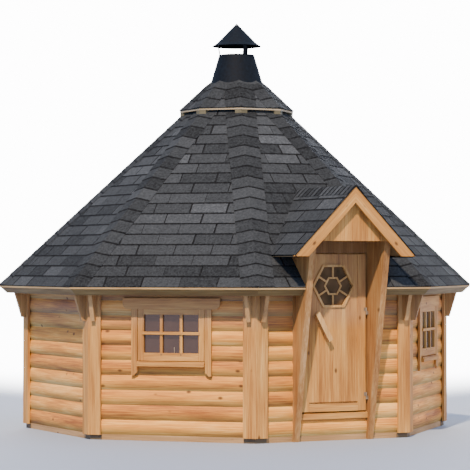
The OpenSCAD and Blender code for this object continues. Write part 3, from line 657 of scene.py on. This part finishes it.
# Door leaf: two stiles and a field of boards round the six-sided light
STILE_W = 100 * MM
FIELD_SET = 6 * MM
LIGHT_RING = 10 * MM
RAIL_TOP = 99 * MM
GAP_DEEP = 12 * MM
EDGE_SOFT = 2 * MM
leaf_low, leaf_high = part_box("door_leaf")
pane_low, pane_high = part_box("door_glass")
light_centre = (pane_low + pane_high) / 2
light_flat = (pane_high.z - pane_low.z) / 2
light_sides = [Vector((math.sin(i * math.pi / 3), 0, math.cos(i * math.pi / 3))) for i in range(6)]
leaf_bm = bmesh.new()
for i, outward in enumerate(light_sides):
    part = bmesh.new()
    for x in (leaf_low.x, leaf_high.x - STILE_W):
        block(part, (x, leaf_low.y, leaf_low.z), (x + STILE_W, leaf_high.y, leaf_high.z), EDGE_SOFT)
    field_low = leaf_low + Vector((STILE_W, FIELD_SET, 0))
    field_high = leaf_high - RIGHT * STILE_W
    block(part, field_low + FRONT * -GAP_DEEP, (field_high.x, field_high.y, leaf_low.z + RAIL_TOP))
    upright_boards(part, field_low + UP * RAIL_TOP, field_high, BOARD_W, VEE)
    clip(part, light_centre + outward * (light_flat + LIGHT_RING), -outward)
    for inner in light_sides[:i]:
        clip(part, light_centre + inner * (light_flat + LIGHT_RING), inner)
    join_bmesh(leaf_bm, part)
finish_piece(leaf_bm, "door_boards", "door", door_wood, ["door_leaf"])

# Bars of the door light: a small ring and six spokes to the middles of the flats
GRILLE_W = 20 * MM
GRILLE_T = 10 * MM
RING_FLAT = 86 * MM
grille_bm = bmesh.new()
ring_in, ring_out = RING_FLAT - GRILLE_W / 2, RING_FLAT + GRILLE_W / 2
for i in range(6):
    turned = Matrix.Translation((0, pane_low.y, light_centre.z)) @ Matrix.Rotation(i * math.pi / 3, 4, "Y")
    block(grille_bm, (-GRILLE_W / 2, -GRILLE_T, ring_out), (GRILLE_W / 2, 0, light_flat), EDGE_SOFT, turned)
    part = bmesh.new()
    block(part, (-ring_out, -GRILLE_T, ring_in), (ring_out, 0, ring_out), EDGE_SOFT, turned)
    for s in (-1, 1):
        mitre = turned.to_3x3() @ Vector((s * math.cos(math.pi / 6), 0, -math.sin(math.pi / 6)))
        clip(part, turned.translation, mitre)
    join_bmesh(grille_bm, part)
finish_piece(grille_bm, "door_light_bars", "door", fair_wood)


def cut_board(bm, outline, back, front, soften, place):
    """Board cut to an outline of (x, z) points, between two distances from the cabin's middle."""
    verts = [bm.verts.new(place @ Vector((x, -back, z))) for x, z in outline]
    face = bm.faces.new(verts)
    grown = bmesh.ops.extrude_face_region(bm, geom=[face])["geom"]
    moved = [v for v in grown if isinstance(v, bmesh.types.BMVert)]
    bmesh.ops.translate(bm, verts=moved, vec=place.to_3x3() @ Vector((0, back - front, 0)))
    faces = list({f for v in verts + moved for f in v.link_faces})
    bmesh.ops.recalc_face_normals(bm, faces=faces)
    edges = list({e for f in faces for e in f.edges})
    bmesh.ops.bevel(bm, geom=edges, offset=soften, affect="EDGES", segments=2, profile=0.5, material=-1)


# Windows: casing boards with a round-ended head, and a stepped sill
CASING_IN = 382 * MM
CASING_OUT = 452 * MM
CASING_LOW = 700 * MM
CASING_CUT = 40 * MM
HEAD_HALF = 550 * MM
HEAD_H = 120 * MM
HEAD_R = 62 * MM
HEAD_STEPS = 10
HEAD_SOFT = 1.5 * MM
SILL_H = 59 * MM
SILL_NOSE = 58 * MM
SILL_STEP = 12 * MM
SILL_GAP = 6 * MM
# Sash round the pane, with two upright bars and a level one before them
PANE_HALF = 3 * MM
STILE = 55 * MM
SASH_SET = 4 * MM
SASH_GAP = 5 * MM
SASH_CLEAR = 17 * MM
SASH_BACK = 19 * MM
FOOT_RAIL = 85 * MM
BAR_W = 31 * MM
BAR_T = 12 * MM
BAR_X = 112 * MM
BAR_SET = 2 * MM
BAR_LET = 4 * MM
BAR_LIFT = 6 * MM
BAR_OVER = 14 * MM
# Two dark plugs in the sash's foot rail, painted shadows under the upright bars' feet, and a small stay before the
# pane
PLUG_R = 9 * MM
PLUG_TIP_R = PLUG_R * 0.8
PLUG_L = 6 * MM
PLUG_DROP = 18 * MM
STAY_X = 24 * MM
STAY_W = 10 * MM
STAY_T = 5 * MM
STAY_H = 62 * MM
# Softened edges, and the seam between boards that meet
SOFT = 2.5 * MM
JOIN = 0.3 * MM
for name, k in (("right", 1), ("left", SIDES - 1)):
    sash_low, sash_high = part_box(f"{name}_window_sash")
    glass_low, glass_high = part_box(f"{name}_window_glass")
    turned = Matrix.Rotation(TURN * k, 4, "Z")
    foot_z, top_z = sash_low.z, sash_high.z + JOIN
    glass_out = ((glass_low + glass_high) / 2).dot(side_outward(k)) + PANE_HALF
    sash_out = board_out - SASH_SET
    sash_in = glass_out - SASH_BACK
    sash_half = CASING_IN - SASH_CLEAR

    jambs_bm = bmesh.new()
    for s in (-1, 1):
        jamb = [(CASING_IN, top_z), (CASING_IN, CASING_LOW + CASING_CUT), (CASING_IN + CASING_CUT, CASING_LOW),
                (CASING_OUT, CASING_LOW), (CASING_OUT, top_z)]
        cut_board(jambs_bm, [(s * x, z) for x, z in jamb], log_out, board_out, SOFT, turned)
        inner = s * (sash_half - STILE)
        block(jambs_bm, (s * (CASING_IN - SASH_GAP), -sash_out, foot_z), (inner, -log_out, sash_high.z), SOFT, turned)
        block(jambs_bm, (s * sash_half, -log_out, foot_z), (inner, -sash_in, sash_high.z), 0, turned)
        block(jambs_bm, (s * BAR_X - BAR_W / 2, -sash_out + BAR_SET, foot_z + FOOT_RAIL),
              (s * BAR_X + BAR_W / 2, -glass_out, sash_high.z - STILE), SOFT, turned)
    finish_piece(jambs_bm, f"{name}_window_uprights", "hut", wall_wood, [f"{name}_window_sash"])

    levels_bm = bmesh.new()
    arc = [math.pi / 2 * i / HEAD_STEPS for i in range(HEAD_STEPS + 1)]
    head = [(HEAD_HALF - HEAD_R * (1 - math.sin(a)), top_z + HEAD_R * (1 - math.cos(a))) for a in arc]
    head.append((HEAD_HALF, top_z + HEAD_H))
    cut_board(levels_bm, head + [(-x, z) for x, z in reversed(head)], log_out, board_out, HEAD_SOFT, turned)
    sill_half = CASING_IN - JOIN
    nose = log_out + SILL_NOSE
    block(levels_bm, (-sill_half, -nose, foot_z - SILL_H), (sill_half, -log_out, foot_z - SILL_H / 3), SOFT, turned)
    block(levels_bm, (-sill_half, -nose + SILL_STEP, foot_z - SILL_H / 2),
          (sill_half, -log_out, foot_z - SILL_GAP), SOFT, turned)
    rail_half = sash_half - STILE
    block(levels_bm, (-rail_half, -sash_out, foot_z), (rail_half, -sash_in, foot_z + FOOT_RAIL), SOFT, turned)
    block(levels_bm, (-rail_half, -sash_out, sash_high.z - STILE), (rail_half, -sash_in, sash_high.z), SOFT, turned)
    bar_z = (glass_low.z + glass_high.z) / 2 + BAR_LIFT
    bar_half = rail_half + BAR_OVER
    block(levels_bm, (-bar_half, -sash_out - BAR_T, bar_z - BAR_W / 2),
          (bar_half, -sash_out + BAR_LET, bar_z + BAR_W / 2), SOFT, turned)
    finish_piece(levels_bm, f"{name}_window_levels", "hut", level_wood, [f"{name}_window_casing"])

    bar_shadow_plugs_bm = bmesh.new()
    for s in (-1, 1):
        spot = Matrix.Translation((s * BAR_X, -sash_out, foot_z + FOOT_RAIL - PLUG_DROP))
        bmesh.ops.create_cone(bar_shadow_plugs_bm, cap_ends=True, segments=16, radius1=PLUG_R, radius2=PLUG_TIP_R,
                              depth=PLUG_L, matrix=turned @ spot @ Matrix.Rotation(math.pi / 2, 4, "X"))
    finish_piece(bar_shadow_plugs_bm, f"{name}_window_bar_shadow_plugs", "hut", dark_wood)
    stay_bm = bmesh.new()
    block(stay_bm, (STAY_X, -glass_out - STAY_T, foot_z + FOOT_RAIL),
          (STAY_X + STAY_W, -glass_out, foot_z + FOOT_RAIL + STAY_H), EDGE_SOFT, turned)
    finish_piece(stay_bm, f"{name}_window_stay", "hut", zinc_steel)

# Dark blocks that carry the corner boards, proud of the sill
CORNER_W = 145 * MM
BLOCK_H = 52 * MM
BLOCK_PROUD = 8 * MM
blocks_bm = bmesh.new()
for k in range(SIDES):
    turned = Matrix.Rotation(TURN * k, 4, "Z")
    side_bm = bmesh.new()
    half = board_out * math.tan(HALF_TURN)
    for s in (-1, 1):
        block(side_bm, (s * half, -sill_out - BLOCK_PROUD, 0), (s * (half - CORNER_W), -sill_out, BLOCK_H), 0, turned)
    bmesh.ops.recalc_face_normals(side_bm, faces=side_bm.faces[:])
    clip(side_bm, Vector(), hip_normal(k))
    clip(side_bm, Vector(), -hip_normal(k - 1))
    join_bmesh(blocks_bm, side_bm)
finish_piece(blocks_bm, "corner_feet", "hut", dark_wood)


RING_STEPS = 64


def ring(bm, profile):
    """Ring round the chimney's axis with a closed profile of (radius, height) points."""
    verts = [bm.verts.new((radius, 0, z)) for radius, z in profile]
    edges = [bm.edges.new(ends) for ends in zip(verts, verts[1:] + verts[:1])]
    bmesh.ops.spin(bm, geom=verts + edges, cent=(0, 0, 0), axis=UP, angle=math.tau, steps=RING_STEPS, use_merge=True)


# Rolled hem on the mouth of the cone, and a folded brim under the flare of the hat
HEM_R = 4 * MM
BRIM_W = 54 * MM
BRIM_H = 30 * MM
MOUTH_R = 206 * MM
HEM_STEPS = 10
cone_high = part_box("flue_cone")[1]
hat_low, hat_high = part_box("chimney_hat")
hems_bm = bmesh.new()
rounds = [i * math.tau / HEM_STEPS for i in range(HEM_STEPS)]
ring(hems_bm, [(MOUTH_R - HEM_R / 2 + HEM_R * math.cos(a), cone_high.z + HEM_R * math.sin(a)) for a in rounds])
ring(hems_bm, [(hat_high.x, hat_low.z), (hat_high.x - BRIM_W, hat_low.z + BRIM_H), (hat_high.x - BRIM_W, hat_low.z)])
bmesh.ops.recalc_face_normals(hems_bm, faces=hems_bm.faces[:])
for face in hems_bm.faces:
    face.smooth = True
finish_piece(hems_bm, "chimney_hems", "hut", sooted_sheet)

# Struts of the hat: three flat bars that lean out from the mouth of the cone
STRUT_HALF = 20 * MM
STRUT_T = 12 * MM
STRUT_LAP = 60 * MM
STRUT_LEAN = math.radians(11)
LAP_LEAN = STRUT_LEAN * -0.3
STRUT_SINK = 25 * MM
STRUT_SOFT = 1.5 * MM
strut_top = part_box("hat_struts")[1].z - STRUT_SINK - cone_high.z
struts_bm = bmesh.new()
for i in range(3):
    foot = Matrix.Rotation(i * math.tau / 3, 4, "Z") @ Matrix.Translation((0, STRUT_T - MOUTH_R, cone_high.z))
    for low, high, lean in ((-STRUT_LAP, 0, LAP_LEAN), (0, strut_top, STRUT_LEAN)):
        block(struts_bm, (-STRUT_HALF, -STRUT_T / 2, low), (STRUT_HALF, STRUT_T / 2, high), STRUT_SOFT,
              foot @ Matrix.Rotation(lean, 4, "X"))
finish_piece(struts_bm, "strut_bars", "hut", black_sheet, ["hat_struts"])

# Camera where the photo was taken from
CAMERA_AZIMUTH = math.radians(-27.2)
CAMERA_DISTANCE = 24.923
CAMERA_HEIGHT = 1.892
FOCAL_PIXELS = 2133.96
IMAGE_PIXELS = 470
AXIS_PIXEL = (236.638, 264.11)
SENSOR = 36.0
VIEW_END = 500
camera = bpy.data.objects.new("camera", bpy.data.cameras.new("camera"))
bpy.context.scene.collection.objects.link(camera)
towards_camera = Vector((math.sin(CAMERA_AZIMUTH), -math.cos(CAMERA_AZIMUTH), 0))
camera.location = towards_camera * CAMERA_DISTANCE + UP * CAMERA_HEIGHT
yaw_left = (AXIS_PIXEL[0] - IMAGE_PIXELS / 2) / FOCAL_PIXELS
pitch_up = (AXIS_PIXEL[1] - IMAGE_PIXELS / 2) / FOCAL_PIXELS
camera.rotation_euler = (math.pi / 2 + pitch_up, 0, CAMERA_AZIMUTH + yaw_left)
camera.data.sensor_width = SENSOR
camera.data.lens = SENSOR * FOCAL_PIXELS / IMAGE_PIXELS
camera.data.clip_end = VIEW_END
bpy.context.scene.camera = camera

# Warm sun from the camera's left, and a broad soft lamp that lifts the right-hand wall
SUN_ELEVATION = math.radians(50)
SUN_AZIMUTH = CAMERA_AZIMUTH - math.radians(11)
SUN_SPREAD = math.radians(1.5)
SUN_POWER = 7.4
sun = bpy.data.objects.new("sun", bpy.data.lights.new("sun", "SUN"))
sun.data.energy = SUN_POWER
sun.data.color = linear("#FFE4C4")[:3]
sun.data.angle = SUN_SPREAD
sun.rotation_euler = (math.pi / 2 - SUN_ELEVATION, 0, SUN_AZIMUTH)
bpy.context.scene.collection.objects.link(sun)
LAMP_AZIMUTH = math.radians(58)
LAMP_ELEVATION = math.radians(14)
LAMP_DISTANCE = 15
LAMP_SIZE = 6
LAMP_POWER = 850
lamp = bpy.data.objects.new("soft_lamp", bpy.data.lights.new("soft_lamp", "AREA"))
lamp.data.energy = LAMP_POWER
lamp.data.size = LAMP_SIZE
lamp.data.color = linear("#FFE0B4")[:3]
lamp_level = Vector((math.sin(LAMP_AZIMUTH), -math.cos(LAMP_AZIMUTH), 0)) * math.cos(LAMP_ELEVATION)
lamp.location = (lamp_level + UP * math.sin(LAMP_ELEVATION)) * LAMP_DISTANCE
lamp.rotation_euler = (math.pi / 2 - LAMP_ELEVATION, 0, LAMP_AZIMUTH)
bpy.context.scene.collection.objects.link(lamp)

# Dim and cool all round, and white behind the cabin as the camera sees it
WHITE_INNER = math.cos(math.radians(13))
WHITE_OUTER = math.cos(math.radians(32))
SKY_POWER = 1.28
WHITE_POWER = 14.0
world = bpy.data.worlds.new("studio")
world.use_nodes = True
sky = world.node_tree
look = add(sky, "ShaderNodeTexCoord").outputs["Generated"]
facing = add(sky, "ShaderNodeVectorMath", {0: look, 1: -towards_camera}, operation="DOT_PRODUCT")
white = add(sky, "ShaderNodeMapRange", {"Value": facing.outputs["Value"], "From Min": WHITE_OUTER,
                                        "From Max": WHITE_INNER}, interpolation_type="SMOOTHSTEP")
power = add(sky, "ShaderNodeMapRange", {"Value": white.outputs[0], "To Min": SKY_POWER, "To Max": WHITE_POWER})
tint = add(sky, "ShaderNodeMix", {0: white.outputs[0], 6: linear("#AECAF6"), 7: (1, 1, 1, 1)}, data_type="RGBA")
sky.links.new(power.outputs[0], sky.nodes["Background"].inputs["Strength"])
sky.links.new(tint.outputs[2], sky.nodes["Background"].inputs["Color"])
bpy.context.scene.world = world

# The floor is pale grey round the cabin and glows white far behind it
FLOOR_HALF = 150
GLOW_NEAR = 4
GLOW_FAR = 14
GLOW_POWER = 12.0
floor_bm = bmesh.new()
bmesh.ops.create_grid(floor_bm, x_segments=1, y_segments=1, size=FLOOR_HALF)
floor_mesh = bpy.data.meshes.new("floor")
floor_bm.to_mesh(floor_mesh)
floor_bm.free()
floor_paint, floor_tree, floor_shader = start_material("pale_floor")
spot = add(floor_tree, "ShaderNodeTexCoord").outputs["Object"]
away = add(floor_tree, "ShaderNodeVectorMath", {0: spot}, operation="LENGTH")
ahead = add(floor_tree, "ShaderNodeVectorMath", {0: spot}, operation="NORMALIZE")
behind = add(floor_tree, "ShaderNodeVectorMath", {0: ahead.outputs[0], 1: -towards_camera}, operation="DOT_PRODUCT")
sector = add(floor_tree, "ShaderNodeMapRange", {"Value": behind.outputs["Value"], "From Min": WHITE_OUTER,
                                                "From Max": WHITE_INNER}, interpolation_type="SMOOTHSTEP")
far = add(floor_tree, "ShaderNodeMapRange", {"Value": away.outputs["Value"], "From Min": GLOW_NEAR,
                                             "From Max": GLOW_FAR, "To Max": GLOW_POWER},
          interpolation_type="SMOOTHSTEP")
glow = add(floor_tree, "ShaderNodeMath", {0: sector.outputs[0], 1: far.outputs[0]}, operation="MULTIPLY")
floor_tree.links.new(glow.outputs[0], floor_shader.inputs["Emission Strength"])
floor_shader.inputs["Emission Color"].default_value = (1, 1, 1, 1)
floor_shader.inputs["Base Color"].default_value = linear("#939FB2")
floor_shader.inputs["Roughness"].default_value = 0.9
floor_mesh.materials.append(floor_paint)
floor = bpy.data.objects.new("floor", floor_mesh)
bpy.context.scene.collection.objects.link(floor)
